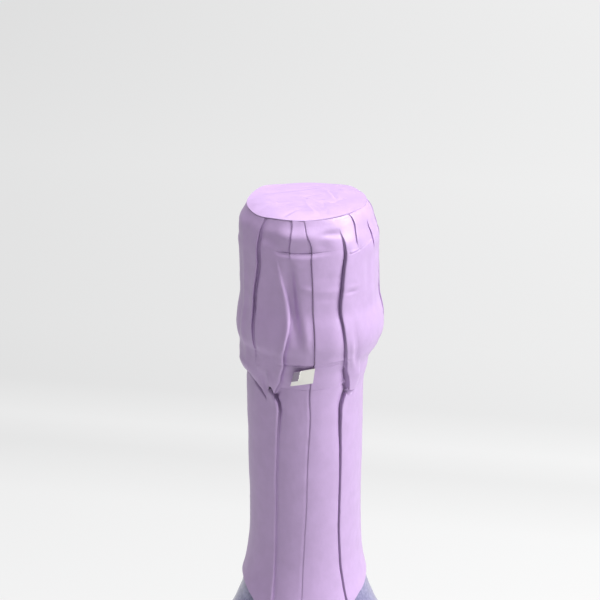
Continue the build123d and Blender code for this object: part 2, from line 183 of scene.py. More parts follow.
# Laps, where the foil steps up: line, side that stands up (1 is towards larger bearings),
# reach of the raised side in millimetres, depth and reach of the groove beside it, heights and
# steps
hood_laps = [
    ("left_deep", -1, 1.8, 0.2, 1.3, [(324.4, 0.15), (318, 0.6), (311, 0.9), (300, 0.9),
                                      (292, 0.5), (287, 0.15), (282, 0)]),
    ("left_ridge", -1, 2.2, 0.3, 1.0, [(309, 0), (303, 0.2), (296, 0.45), (288, 0.65),
                                       (280, 0.75), (276, 0.5), (270, 0.4)]),
    ("left_valley", 1, 1.6, 0.2, 0.7, [(324.4, 0.25), (318, 0.4), (314.5, 0.25), (312, 0)]),
    ("seam", 1, 5.5, 0.04, 0.7, [(324.4, 0.12), (320, 0.25), (312, 0.3), (292, 0.32),
                                 (284, 0.36), (277, 0.2), (262, 0.15), (230, 0.12),
                                 (206, 0.1)]),
    ("right_deep", 1, 4.6, 0.3, 1.6, [(321, 0), (319.3, 0.2), (317.5, 0.5), (312, 0.85),
                                      (304, 1.05), (297, 0.8), (290, 0.55), (284, 0.42),
                                      (279, 0.35), (276, 0.3), (270, 0.3)]),
    ("right_pleat", 1, 2.4, 0.1, 0.7, [(324.7, 0.15), (322, 0.32), (318, 0.3), (315.5, 0)]),
    ("far_right", 1, 2.0, 0.1, 0.7, [(321.5, 0), (318.5, 0.3), (315.5, 0.2), (313, 0)]),
    ("loop_near", 1, 3.0, 0.2, 0.7, [(324.4, 0.1), (316, 0.3), (300, 0.4), (284, 0.3),
                                     (276, 0)]),
    ("back_right", -1, 3.2, 0.5, 1.0, [(324.4, 0.1), (314, 0.8), (300, 1.2), (286, 1.1),
                                       (276, 0.9), (270, 0.4), (240, 0.3), (206, 0.2)]),
    ("back_middle", 1, 2.6, 0.3, 0.8, [(324.4, 0.2), (316, 0.5), (298, 0.5), (284, 0.4),
                                       (274, 0)]),
    ("back_left", 1, 3.4, 0.6, 1.0, [(324.4, 0.1), (314, 0.8), (300, 1.1), (286, 1.0),
                                     (276, 0.85), (270, 0.3), (240, 0.25), (206, 0.2)]),
    ("back_left_low", -1, 2.0, 0.1, 0.7, [(322, 0.2), (314, 0.3), (300, 0.1), (292, 0)]),
]
neck_laps = [lap for lap in hood_laps if lap[0] not in neck_lines] + [
    ("left_ridge", -1, 2.4, 0.25, 1.4, [(280, 0.3), (276, 0.8), (272, 0.65), (266, 0.32),
                                        (250, 0.24), (215, 0.22), (206, 0.1)]),
    ("right_deep", 1, 3.6, 0.1, 1.4, [(280, 0), (275.5, 0.05), (273.6, 0.45), (271.5, 0.6),
                                      (262, 0.45), (240, 0.4), (206, 0.4)]),
]
# Ridges and valleys: line, middle's distance from it, reach to its left and right, heights and
# how far they stand out
hood_swells = [
    ("left_deep", 1.9, 0.75, 1.8, [(322, 0.1), (316, 0.4), (306, 0.5), (292, 0.35), (283, 0)]),
    ("far_left", 0.8, 1.2, 1.3, [(318, 0), (306, 0.25), (292, 0.35), (281, 0)]),
    ("far_left", -1.6, 1.0, 1.0, [(314, 0), (304, -0.15), (292, -0.2), (281, 0)]),
    ("left_ridge", -0.45, 1.1, 0.45, [(314, 0), (308, 0.4), (300, 0.6), (293, 0.55), (286, 0.35),
                                      (279, 0.2), (276, 0)]),
    ("left_valley", -0.5, 1.6, 1.1, [(314, 0), (310, -0.8), (301, -1.4), (295, -1.0), (289, 0)]),
    ("seam", -2.2, 1.6, 1.0, [(300, 0), (294, 0.35), (287, 0.1), (283, 0)]),
    ("seam", -0.95, 0.3, 0.3, [(277, 0), (274, 0.07), (250, 0.03), (206, 0.03)]),
    ("right_deep", -0.35, 2.4, 0.2, [(291, 0), (286, -0.25), (282, -0.6), (278, -1.0),
                                     (274, -1.0)]),
    ("right_deep", 1.7, 0.7, 0.6, [(294, 0), (288, 0.3), (284, 0.3), (281, 0)]),
    ("right_deep", 2.9, 1.0, 1.0, [(298, 0), (292, -0.35), (286, -0.5), (282, -0.2), (280, 0)]),
    ("right_deep", 3.4, 2.3, 0.8, [(285, 0), (281, 0.75), (278, 0.6), (275, 0.35)]),
    ("back_right_low", 0, 2.0, 1.2, [(320, 0), (308, 0.4), (292, 0.35), (280, 0)]),
    ("loop_far", 0, 1.4, 2.2, [(318, 0), (302, 0.3), (290, -0.3), (281, 0)]),
    ("back_left_low", 2.4, 1.2, 1.8, [(310, 0), (298, 0.4), (284, 0.2), (277, 0)]),
]
neck_swells = [swell for swell in hood_swells if swell[0] not in neck_lines] + [
    ("left_ridge", -0.5, 0.9, 0.4, [(279, 0), (274, 0.2), (268, 0.22), (240, 0.16), (206, 0.12)]),
    ("right_deep", -0.3, 1.9, 0.18, [(278, -0.8), (274, -0.7), (270, -0.45), (264, -0.25),
                                    (250, 0)]),
]
# Narrow gaps beside a lap's edge: line, middle's distance from it, half width, heights and depths
hood_slits = [
    ("left_deep", 0.5, 0.28, [(323, 0.1), (318, 0.35), (311, 0.5), (300, 0.5), (291, 0.3),
                              (285, 0)]),
    ("left_valley", -0.16, 0.14, [(323.5, 0), (322, 0.3), (315.5, 0.35), (314.5, 0)]),
    ("seam", -0.12, 0.12, [(323.5, 0), (322, 0.2), (317, 0.3), (300, 0.36), (284, 0.36),
                           (277, 0.2), (262, 0.12), (206, 0.06)]),
    ("right_deep", -0.4, 0.22, [(320, 0), (317, 0.3), (311, 0.8), (300, 0.8), (292, 0.5),
                                 (284, 0.6), (278, 1.0), (274, 1.2)]),
    ("right_pleat", -0.13, 0.11, [(324, 0), (321, 0.3), (317.5, 0.25), (316.5, 0)]),
    ("far_right", -0.12, 0.1, [(321, 0), (318.5, 0.2), (315.5, 0.15), (314.5, 0)]),
]
neck_slits = [slit for slit in hood_slits if slit[0] not in neck_lines] + [
    ("left_ridge", 0.4, 0.4, [(279, 0.4), (276, 1.0), (272.5, 0.9), (267, 0.35), (258, 0.15),
                              (206, 0.1)]),
    ("right_deep", -0.3, 0.2, [(281, 0.5), (275, 1.2), (270, 1.1), (264, 0.7), (240, 0.5),
                               (206, 0.4)]),
]
# Dents and bumps: bearing, height, reach round and upwards in millimetres, how far they stand out
spots = [
    (-55, 304.0, 1.8, 0.5, -0.4), (-55, 305.4, 1.8, 0.6, 0.2), (-93, 305.6, 1.6, 0.8, 0.35),
    (-74, 304.8, 3.2, 0.8, 0.2), (-74, 302.6, 3.2, 0.8, -0.15), (-76, 308.5, 3.5, 1.0, -0.12),
    (-100, 311.5, 3.0, 0.9, 0.15), (-128, 296, 2.5, 6.0, 0.3), (-150, 318, 2.2, 2.0, -0.25),
    (-72, 293, 3.0, 5.0, 0.25), (-35, 308, 1.2, 4.0, -0.3), (-28, 300, 1.2, 3.0, 0.2),
    (-15, 312, 1.6, 3.0, -0.25), (12, 300, 2.0, 5.0, 0.3), (62, 304, 2.5, 4.0, -0.3),
    (90, 296, 3.0, 5.0, 0.35), (118, 306, 2.0, 4.0, -0.35), (146, 298, 2.4, 6.0, 0.3),
    (172, 308, 2.2, 3.5, -0.3), (-70, 319.9, 2.4, 0.8, -0.4), (-126, 318.0, 2.8, 1.4, -0.45),
    (-78, 317.2, 1.8, 1.2, -0.3), (-42, 280.4, 1.7, 2.2, 0.3),
    (-82.5, 283.4, 1.6, 0.9, -0.2),
]
# Level creases: first and last bearing, heights there, how far the foil above stands out
level_laps = [
    (-57, -46, 314.7, 315.1, 0.3), (-48, -27, 315.0, 316.9, 0.35),
    (-118, -88, 284.7, 284.5, 0.14), (-82, -50, 284.9, 285.3, 0.16), (-80, -55, 283.9, 284.6, 0.1),
]

# Hem where the strip's pleats end over the neck: bearing, height; then how far it stands out
hem_line = [
    (-186, 277.1), (-180, 277.5), (-165, 279.3), (-151, 278.7), (-144, 277.4), (-138, 276.3),
    (-132.5, 274.8), (-130.5, 273.7), (-128.5, 274.6), (-126.5, 276.2), (-125.6, 277.1),
    (-122.4, 277.1), (-120.4, 275.8), (-119.2, 275.1), (-117.8, 275.4), (-116.0, 276.3),
    (-112, 276.9), (-90, 276.8), (-62, 276.9), (-54, 277.2), (-50.5, 278.0), (-48.6, 277.7),
    (-47.2, 276.4), (-46, 275.5), (-44, 275.1), (-41, 275.1), (-38, 275.4), (-35.5, 275.9),
    (-32.5, 276.9),
    (0, 276.8), (28, 276.6), (38, 275.2), (46, 274.4), (52, 276.2), (60, 276.8), (95, 276.8),
    (118, 276.6), (130, 275.0), (137, 274.2), (146, 275.6), (156, 277.0), (166, 277.6),
    (174, 277.1),
]
hem_rise = [
    (-186, 0.4), (-176, 0.5), (-160, 0.7), (-145, 0.7), (-133, 0.6), (-130.8, 0.25),
    (-129, 0.2), (-126.5, 0.25), (-125, 0.7), (-123.5, 0.95), (-118, 0.6), (-112, 0.02),
    (-60, 0.0), (-50, 0.1), (-47.5, 0.5), (-43, 0.65), (-38, 0.55), (-34.5, 0.2), (-31, 0.03),
    (0, 0.05), (28, 0.1), (38, 0.7), (46, 0.9), (54, 0.4), (64, 0.05), (112, 0.05), (126, 0.7),
    (137, 1.0), (150, 0.7), (162, 0.4), (174, 0.4),
]
# How deep the neck's foil dips beneath that hem
hem_gap = [
    (-186, 0.5), (-176, 0.8), (-160, 1.1), (-138, 1.1), (-132.5, 0.7), (-130.5, 0.1),
    (-129, 0), (-126.2, 0), (-125, 1.2), (-121, 1.3), (-118, 0.5), (-112, 0.0), (-56, 0.0),
    (-50, 0.5), (-47, 1.1), (-42, 1.4), (-37.5, 1.2), (-34, 0), (0, 0), (28, 0), (38, 0.6),
    (46, 0.8), (54, 0.3), (64, 0), (112, 0), (126, 0.6), (137, 0.9), (150, 0.7), (162, 0.5),
    (174, 0.5),
]
# The hem bulges most this far above its edge
hem_bulge = 1.0
hem_reach = 3.0

# The top disc's edge, and its creases: both ends, height and width of each
disc_edge = [
    (-190, 324.2), (-160, 323.7), (-137, 323.1), (-120, 323.35), (-90, 323.6), (-60, 323.9),
    (-40, 324.2), (-20, 324.4), (40, 324.6), (90, 324.5), (140, 324.6), (170, 324.3),
]
disc_creases = [
    ((6.5, -4.0), (12.5, -10.5), 0.3, 1.2), ((5.6, 7.0), (7.0, 1.5), 0.26, 0.8),
    ((-3.0, -11.0), (-5.5, -14.0), -0.16, 0.9), ((10.0, 8.5), (15.0, 6.0), 0.22, 0.9),
    ((-13.0, -3.0), (-6.0, -6.5), 0.2, 1.6), ((-9.0, 5.0), (1.0, 9.0), 0.16, 1.8),
    ((0.5, -6.0), (2.5, -13.0), 0.18, 1.4), ((-2.5, 2.0), (4.0, -1.0), 0.14, 2.0),
]

# The tab's corners: X and height
tab_corners = {
    "high_right": (2.5, 283.85), "low_right": (1.95, 279.05), "low_left": (-4.0, 278.3),
    "high_left": (-3.05, 282.85),
}

# Lower edge of the capsule on the glass, dipping at the seam
edge_line = [
    (-190, 217.6), (-180, 217.2), (-162, 216.2), (-154, 215.3), (-143, 213.8), (-134, 212.0),
    (-120, 209.6), (-105, 208.0), (-90, 207.4), (-75, 208.2), (-60, 210.2), (-48, 212.4),
    (-37, 214.2), (-25, 215.4), (-12, 216.8), (10, 218.2), (60, 218.8), (120, 218.4),
    (170, 217.6),
]

# Level crease under the edge of the cork's head: bearing, height; then how deep it is
head_crease = [
    (-125, 315.2), (-116, 315.1), (-105, 314.9), (-93, 314.9), (-81, 315.3), (-60, 315.6),
    (-47, 315.4), (-35, 316.4), (-20, 317.2), (40, 315.8), (110, 316.6), (180, 315.6),
    (235, 315.2),
]
head_depth = [
    (-125, 0.0), (-118, 0.2), (-113, 0.75), (-100, 0.9), (-87, 0.9), (-79, 0.45), (-72, 0.15),
    (-60, 0.1), (-45, 0.1), (-35, 0.15), (-15, 0.1), (30, 0.5), (80, 0.35), (140, 0.5),
    (190, 0.25), (215, 0.0), (235, 0.0),
]
head_reach_up = 2.2
head_reach_down = 0.7
head_line_middle = 0.14
head_line_reach = 0.14
head_line_share = 0.25
brow_height = 4.6
brow_reach = 1.7
brow_rise = 0.7

# Solids under the foil, and where their reach is looked up
nodes_under_foil = (
    "cage_frame", "belt_wire", "wire_loop", "cork_body", "cap_plate", "glass_bottle",
)
reach_heights = np.arange(204.0, 326.0, 0.4)
reach_bearings = np.arange(0, 360, 1.5)
ray_start = 40

# Hood: closer rows under the cork's head, and its rim rolled in under the disc
close_rows_low = 314.4
close_rows_high = 317.2
rim_roll = 0.6
rim_follow = 319
rim_below_disc = 0.2
rim_inward = (0.97, 0.93, 0.88)

# Strip, and the neck's foil with its rows, its tuck under the hem, the gap's dip and the painted
# shadow in it
strip_rows = 46
neck_rows_top = 278.0
neck_rows_middle = 262.0
neck_rows_low = 206.0
neck_inward = 0.05
hem_tuck = 1.3
tucked_radius = 15.4
gap_middle = 0.85
gap_reach = 0.65
gap_painted_shadow = 0.8

# Top disc: its columns, crumples, dished rim and the two corners at its back
disc_columns = 240
disc_seed = 11
disc_crease_count = 30
disc_crumple = 0.09
flat_rim = 0.1
rim_crumple = 0.15
disc_sunk = 0.1
disc_overlap = 0.22
dish_start = 0.66
dish_curve = 1.8
edge_wave = 0.1
disc_corners = (47, 133)
corner_width = 16
corner_reach = 0.7
corner_lift = 0.35

# Tab: its grid, its curl and wave, and the corner folded over it
tab_rows = 22
tab_columns = 30
tab_thickness = 0.08
tab_curl = 0.75
tab_wave = 0.15
corner_across = 0.66
corner_soft_across = 0.05
corner_upward = 0.3
corner_soft_upward = 0.06
corner_rise = 0.18

# Colours
lilac_colour = (0.565, 0.398, 0.67)
bare_colour = (0.86, 0.85, 0.79)
# The tab's folded corner: the foil's lilac outer side, painted dark grey for the shade it lies in
back_colour_in_painted_shade = (0.30, 0.25, 0.33)
glass_shades = [
    (0.32, (0.21, 0.20, 0.37)), (0.5, (0.27, 0.255, 0.45)), (0.68, (0.35, 0.335, 0.55)),
]
wine_colour = (0.85, 0.72, 0.38)
granule_colour = (0.45, 0.29, 0.15)
cork_colour = (0.5, 0.33, 0.18)
plate_colour = (0.55, 0.42, 0.68)
wire_colour = (0.5, 0.5, 0.5)

# Camera: degrees above level, millimetres from the point it looks at, and that point
camera_elevation = 19.0
camera_distance = 550.0
camera_lens = 123.2
camera_aim = (-1.45, 0.0, 296.4)

# Lamps: place, size and power; then the point that they face, and the world's light
lamps = [("key", (0.95, -0.25, 0.97), 0.6, 14.6), ("overhead", (0.1, 0.0, 1.5), 1.2, 19.3)]
lamp_target = (0, 0, 0.28)
world_strength = 0.16

# Painted light and shadow on the floor: brightness from near to far, its shadow bands' slant and
# reach, and its two sides
floor_painted_shadow_bands = [
    (0.0, 0.92), (0.10, 0.905), (0.135, 0.82), (0.155, 0.88), (0.185, 0.8), (0.24, 0.84),
    (0.45, 0.93), (1.0, 1.0),
]
band_slant = 0.22
band_reach = (0.3, 2.3)
side_reach = 0.35
painted_side_light = (0.93, 1.07)
floor_lit_share = 0.25


def smooth_line(points, at, tight=False):
    """A smooth curve through (place, value) points, level past its ends.

    A tight one never swings past its points.
    """
    places, values = np.array(sorted(points), dtype=float).T
    slopes = np.gradient(values, places)
    if tight:
        runs = np.diff(values) / np.diff(places)
        before, after = np.append(runs[:1], runs), np.append(runs, runs[-1:])
        most = 3 * np.where(before * after > 0, np.minimum(np.abs(before), np.abs(after)), 0)
        slopes = np.clip(slopes, -most, most)
    at = np.clip(at, places[0], places[-1])
    span = np.clip(np.searchsorted(places, at, side="right") - 1, 0, len(places) - 2)
    width = places[span + 1] - places[span]
    t = (at - places[span]) / width
    return (
        (1 + 2 * t) * (1 - t) ** 2 * values[span]
        + t * (1 - t) ** 2 * width * slopes[span]
        + t**2 * (3 - 2 * t) * values[span + 1]
        + t**2 * (t - 1) * width * slopes[span + 1]
    )


def within_turn(bearings, first):
    """Bearings counted within the one turn that starts at the first."""
    return (bearings - first) % 360 + first


def around(table, bearings):
    """A table over the bearings all round, each read within the table's own turn."""
    return smooth_line(table, within_turn(bearings, table[0][0]), tight=True)


def bell(distance, reach):
    """1 in the middle with a round crest, less to either side."""
    return np.exp(-((distance / reach) ** 2))


def fading(distance, reach):
    """1 in the middle with a sharp crest, less to either side."""
    return np.exp(-np.abs(distance) / reach)


def foil_columns(heights, lines):
    """Bearings of the sheet's columns, crowded at the fold lines wherever these wander."""
    names = sorted(lines, key=lambda name: float(smooth_line(lines[name], belt_height)))
    steps = 2 * np.arange(columns_between_folds) / (columns_between_folds - 1) - 1
    shares = 0.5 + 0.5 * np.tanh(crowding * steps) / np.tanh(crowding)
    shares = column_gap + (1 - 2 * column_gap) * shares
    heights = np.broadcast_to(heights, (len(heights), len(names) * len(shares)))
    columns = []
    for number, (name, following) in enumerate(zip(names, names[1:] + names[:1])):
        part = heights[:, number * len(shares) : (number + 1) * len(shares)]
        start = smooth_line(lines[name], part)
        end = smooth_line(lines[following], part)
        end = end + 360 * (end < start)
        columns.append(start + (end - start) * shares)
    return np.concatenate(columns, axis=1)


def distance_from(line, bearings, heights, radius):
    """How far round the foil each point lies from a fold line, in millimetres."""
    turn = bearings - smooth_line(line, heights)
    turn = (turn + 180) % 360 - 180
    return np.radians(turn) * radius


def crumple(bearings, heights, seed, scale, height):
    """Low waves with soft crests, as in thin foil that has been pressed on by hand."""
    random = np.random.default_rng(seed)
    total = np.zeros_like(bearings)
    turns = np.radians(bearings)
    for _ in range(crumple_waves):
        waves_round = random.integers(2, int(foil_girth / scale))
        waves_up = random.normal(0, 1.0) * 2 * pi / (crumple_stretch * scale)
        phase = random.uniform(0, 2 * pi)
        wave = np.sin(waves_round * turns + waves_up * heights + phase)
        total += random.uniform(0.4, 1.0) * (1 - np.abs(wave) ** crest_softness)
    return height * (total - total.mean()) / 3


def outline_radii(heights):
    """The plain foil's radius to the left and to the right."""
    lefts = smooth_line([(z, left) for z, left, _ in foil_outline], heights)
    rights = smooth_line([(z, right) for z, _, right in foil_outline], heights)
    return lefts, rights


def lap_relief(lap, lines, bearings, heights, radius):
    """One lap's rise, how far it leans over and is tucked behind, and the painted shade at its
    foot.
    """
    name, side, reach, groove, groove_reach, steps = lap
    place = side * distance_from(lines[name], bearings, heights, radius)
    step = smooth_line(steps, heights, tight=True)
    raised = fading(place, reach) * (1 - edge_drop * fading(place, edge_reach))
    sunk = -groove * bell(place, groove_reach)
    share = np.clip(step / max(value for _, value in steps), 0, 1)
    rise = np.where(place > 0, step * raised, share * sunk)
    lean = -side * overhang * step * np.where(place > 0, fading(place, overhang_reach), 0)
    behind = side * np.clip(step, 0, behind_most) * bell(place, behind_reach)
    # Painted shade: the foil at the foot of a lap's edge, on its low side, is marked to be
    # darkened
    foot = np.clip(step / dark_step, 0, 1) * bell(place + foot_offset, foot_reach)
    return rise, lean, behind, np.where(place < 0, foot, 0)


def level_relief(level_lap, bearings, heights):
    """One level crease: the foil above it stands out, and the foil below it is drawn in."""
    first, last, start, end, out = level_lap
    share = (bearings - first) / (last - first)
    above = heights - (start + (end - start) * share)
    fade = np.clip(4 * share, 0, 1) * np.clip(4 * (1 - share), 0, 1)
    upper = fading(above, level_reach_up)
    lower = -level_depth * fading(above, level_reach_down)
    lower = lower - bell(above + level_slit_drop, level_slit_reach)
    return out * fade * np.where(above > 0, upper, lower)


def foil_radius(bearings, heights, folds):
    """The plain foil's radius and shift to the right, its relief, and the painted shade in its
    creases.
    """
    lines, laps, swells, slits = folds
    lefts, rights = outline_radii(heights)
    radius = (lefts + rights) / 2
    offsets = (rights - lefts) / 2
    rise, sideways, behind, crease = (np.zeros_like(bearings) for _ in range(4))
    for lap in laps:
        lap_rise, lean, lap_behind, foot = lap_relief(lap, lines, bearings, heights, radius)
        rise += lap_rise
        sideways += lean
        behind += lap_behind
        crease = np.maximum(crease, foot)
    for name, middle, left_reach, right_reach, heights_out in swells:
        place = distance_from(lines[name], bearings, heights, radius) - middle
        reach = np.where(place < 0, left_reach, right_reach)
        rise += smooth_line(heights_out, heights, tight=True) * bell(place, reach)
    for name, middle, half_width, depths in slits:
        place = distance_from(lines[name], bearings, heights, radius) - middle
        depth = smooth_line(depths, heights, tight=True) * bell(place, half_width)
        rise -= depth
        # Painted shade in a slit: the deeper the slit, the darker its colour
        crease = np.maximum(crease, np.clip(depth / dark_slit, 0, 1))
    for bearing, height, across, upward, out in spots:
        turn = (bearings - bearing + 180) % 360 - 180
        place = np.radians(turn) * radius / across
        rise += out * np.exp(-(place**2) - ((heights - height) / upward) ** 2)
    for level_lap in level_laps:
        rise += level_relief(level_lap, bearings, heights)
    return radius, offsets, rise, sideways, behind, crease


def under_head(bearings, heights):
    """The foil drawn in under the edge of the cork's head, with its level crease."""
    turned = within_turn(bearings, head_crease[0][0])
    above = heights - smooth_line(head_crease, turned)
    drawn_in = np.where(
        above > 0, bell(above, head_reach_up), bell(above, head_reach_down)
    )
    line = bell(above - head_line_middle, head_line_reach)
    drawn_in = (1 - head_line_share) * drawn_in + head_line_share * line
    brow = brow_rise * bell(above - brow_height, brow_reach)
    return smooth_line(head_depth, turned) * (brow - drawn_in)


def inner_reach():
    """How far the wire cage, the cork and the glass reach out under the foil, all round."""
    points, faces = [], []
    for node in nodes_under_foil:
        solid = frame["nodes"][node]
        faces += [[len(points) + i for i in face.vertices] for face in solid.data.polygons]
        points += [solid.matrix_world @ vertex.co for vertex in solid.data.vertices]
    tree = BVHTree.FromPolygons(points, faces)
    reach = np.zeros((len(reach_heights), len(reach_bearings)))
    for row, height in enumerate(reach_heights):
        for column, bearing in enumerate(reach_bearings):
            out = Vector((cos(radians(bearing)), sin(radians(bearing)), 0))
            start = ray_start * MM * out + Vector((0, 0, height * MM))
            hit, _, _, distance = tree.ray_cast(start, -out, ray_start * MM)
            reach[row, column] = ray_start - distance / MM if hit else 0
    for axis in (0, 1):
        reach = np.maximum(reach, np.maximum(np.roll(reach, 1, axis), np.roll(reach, -1, axis)))
    return reach


def kept_clear(x, y, heights):
    """How much farther out points must lie for the foil to clear what is under it."""
    row = np.clip(np.searchsorted(reach_heights, heights), 0, len(reach_heights) - 1)
    column = (np.degrees(np.arctan2(y, x)) % 360 / reach_bearings[1]).round().astype(int)
    inner = under_foil[row, column % len(reach_bearings)]
    return np.maximum(0, inner + clearance + foil_thickness - np.hypot(x, y))


def sheet_points(bearings, heights, folds, extra=0.0):
    """Points of the foil sheet in millimetres, outside and inside, and the painted shade in its
    creases.
    """
    radius, offsets, rise, sideways, behind, crease = foil_radius(bearings, heights, folds)
    rise = rise + under_head(bearings, heights)
    for seed, scale, height in crumples:
        rise = rise + crumple(bearings, heights, seed, scale, height)
    turns = np.radians(bearings) + sideways / radius
    reach = radius + rise + extra
    lift = kept_clear(offsets + reach * np.cos(turns), reach * np.sin(turns), heights)
    shells = []
    for inward in (0, foil_thickness):
        out = reach + lift - inward
        turned = turns + behind / radius * (inward > 0)
        shells.append(np.stack(
            [offsets + out * np.cos(turned), out * np.sin(turned), heights], axis=-1
        ))
    return shells[0], shells[1], crease


def quads_between(index):
    """Four-cornered faces between neighbouring rows and columns of point numbers."""
    return np.stack([index[:-1, :-1], index[:-1, 1:], index[1:, 1:], index[1:, :-1]], axis=-1)


def mesh_piece(name, points, quads):
    """A smooth-shaded piece from its points, in metres, and its faces."""
    mesh = bpy.data.meshes.new(name)
    mesh.from_pydata(points.reshape(-1, 3).tolist(), [], quads.reshape(-1, 4).tolist())
    mesh.polygons.foreach_set("use_smooth", [True] * len(mesh.polygons))
    piece = bpy.data.objects.new(name, mesh)
    bpy.context.collection.objects.link(piece)
    return piece


def grid_piece(name, points):
    """A piece over rows and columns of points, in metres."""
    rows, columns, _ = points.shape
    return mesh_piece(name, points, quads_between(np.arange(rows * columns).reshape(rows, -1)))


def shell_piece(name, outside, inside, crease):
    """A closed thin sheet: rows of points outside, the same rows inside, and its two rims."""
    rows, columns, _ = outside.shape
    index = np.arange(2 * rows * columns).reshape(2 * rows, columns)
    index = np.concatenate([index, index[:, :1]], axis=1)
    index = np.concatenate([index, index[:1]])
    quads = quads_between(index)
    slots = np.zeros(quads.shape[:2], dtype=int)
    slots[rows : 2 * rows - 1] = 1
    piece = mesh_piece(name, np.concatenate([outside, inside[::-1]]) * MM, quads)
    mesh = piece.data
    mesh.polygons.foreach_set("material_index", slots.reshape(-1).tolist())
    mesh.set_sharp_from_angle(angle=radians(50))
    # The painted shade in the creases, kept on the points for the material to darken the colour by
    values = np.concatenate([crease, crease[::-1]]).reshape(-1)
    mesh.attributes.new("crease", "FLOAT", "POINT").data.foreach_set("value", values)
    return piece


def thicken(piece, thickness):
    """Gives a small sheet its thickness."""
    solid = piece.modifiers.new("thickness", "SOLIDIFY")
    solid.thickness = thickness * MM
    solid.offset = -1
    with bpy.context.temp_override(object=piece):
        bpy.ops.object.modifier_apply(modifier=solid.name)
    piece.data.set_sharp_from_angle(angle=radians(55))


def sheet_grid(levels, lines, placed):
    """Bearings and heights of a grid whose rows wander from their levels as placed() says."""
    levels = np.array(levels)[:, None]
    bearings = foil_columns(levels, lines)
    for _ in range(3):
        heights = placed(levels, bearings)
        bearings = foil_columns(heights, lines)
    return bearings, placed(levels, bearings)


def hood_piece(folds):
    """The capsule above the tear strip, up to its rim turned in under the top disc."""
    roll_start = disc_low - rim_roll
    levels = np.concatenate([
        np.arange(hood_low, close_rows_low, row_step),
        np.arange(close_rows_low, close_rows_high, row_step / 3),
        np.arange(close_rows_high, roll_start, row_step),
        roll_start + rim_roll * np.sin(np.linspace(0, pi / 2, 6)),
    ])

    def up_to_disc(levels, bearings):
        share = np.clip((levels - rim_follow) / (disc_low - rim_follow), 0, None)
        return levels + share * (around(disc_edge, bearings) - rim_below_disc - disc_low)

    bearings, heights = sheet_grid(levels, folds[0], up_to_disc)
    outside, inside, crease = sheet_points(bearings, heights, folds)
    for share in rim_inward:
        flat = outside[-1:] * [share, share, 1]
        outside = np.concatenate([outside, flat])
        inside = np.concatenate([inside, flat - [0, 0, foil_thickness]])
        crease = np.concatenate([crease, crease[-1:]])
    return shell_piece("hood_foil", outside, inside, crease)


def strip_piece(folds):
    """The tear strip, from the hood down to its wandering hem."""
    rows = np.linspace(1, 0, strip_rows)

    def down_to_hem(rows, bearings):
        hem = around(hem_line, bearings)
        return hem + (hood_low - hem) * rows

    bearings, heights = sheet_grid(rows, folds[0], down_to_hem)
    rise = around(hem_rise, bearings)
    rise = rise * bell(heights - heights[-1:] - hem_bulge, hem_reach)
    rise = rise * np.clip(2 * (1 - rows[:, None]), 0, 1)
    outside, inside, crease = sheet_points(bearings, heights, folds, rise)
    return shell_piece("strip_foil", outside[::-1], inside[::-1], crease[::-1])


def neck_piece(folds):
    """The capsule below the strip, tucked under it, down to its edge on the glass."""
    levels = np.concatenate([
        np.arange(neck_rows_top, neck_rows_middle, -row_step),
        np.arange(neck_rows_middle, neck_rows_low, -2 * row_step),
    ])

    def down_to_edge(levels, bearings):
        below = np.clip((neck_rows_middle - levels) / (neck_rows_middle - neck_rows_low), 0, 1)
        above = np.clip((levels - neck_rows_middle) / (levels[0] - neck_rows_middle), 0, 1)
        edge = around(edge_line, bearings) - neck_rows_low
        tucked = around(hem_line, bearings) + hem_tuck
        return levels + below * edge + above * (tucked - levels[0])

    bearings, heights = sheet_grid(levels, folds[0], down_to_edge)
    under_hem = around(hem_line, bearings) - heights
    shade = around(hem_gap, bearings) * bell(under_hem - gap_middle, gap_reach)
    tuck = np.clip(-under_hem / hem_tuck, 0, 1)
    radius, _, rise, _, _, _ = foil_radius(bearings, heights, folds)
    inward = -neck_inward - shade - tuck * np.maximum(0, radius + rise - tucked_radius)
    outside, inside, crease = sheet_points(bearings, heights, folds, inward)
    # Painted shadow in the gap under the hem, added to the painted shade in the creases
    crease = np.maximum(crease, np.clip(gap_painted_shadow * shade, 0, 1))
    return shell_piece("neck_foil_sheet", outside[::-1], inside[::-1], crease[::-1])


def disc_crease(x, y, start, end, out, width):
    """One straight crease of the disc between two points: raised on one side, sunk beside it."""
    along = np.array(end) - np.array(start)
    length = np.hypot(*along)
    share = ((x - start[0]) * along[0] + (y - start[1]) * along[1]) / length**2
    across = ((x - start[0]) * along[1] - (y - start[1]) * along[0]) / length
    fade = np.exp(-((np.clip(-share, 0, None) + np.clip(share - 1, 0, None)) * 8) ** 2)
    return out * fade * np.tanh(across / (0.3 * width)) * fading(across, width)


def crease_field(x, y, seed, count):
    """Short straight creases strewn over a flat foil."""
    random = np.random.default_rng(seed)
    total = np.zeros_like(x)
    for _ in range(count):
        turn = random.uniform(0, pi)
        centre = random.uniform(-13, 13, 2)
        along = (x - centre[0]) * np.cos(turn) + (y - centre[1]) * np.sin(turn)
        across = -(x - centre[0]) * np.sin(turn) + (y - centre[1]) * np.cos(turn)
        length = random.uniform(2.0, 6.0)
        crease = fading(across, 0.5) * bell(along, length)
        total += random.choice([-1, 1]) * random.uniform(0.5, 1.4) * crease
    return total


def disc_waves(x, y):
    """The disc's crumples and its longer creases."""
    waves = crease_field(x, y, disc_seed, disc_crease_count) * disc_crumple
    for start, end, out, width in disc_creases:
        waves = waves + disc_crease(x, y, start, end, out, width)
    return waves


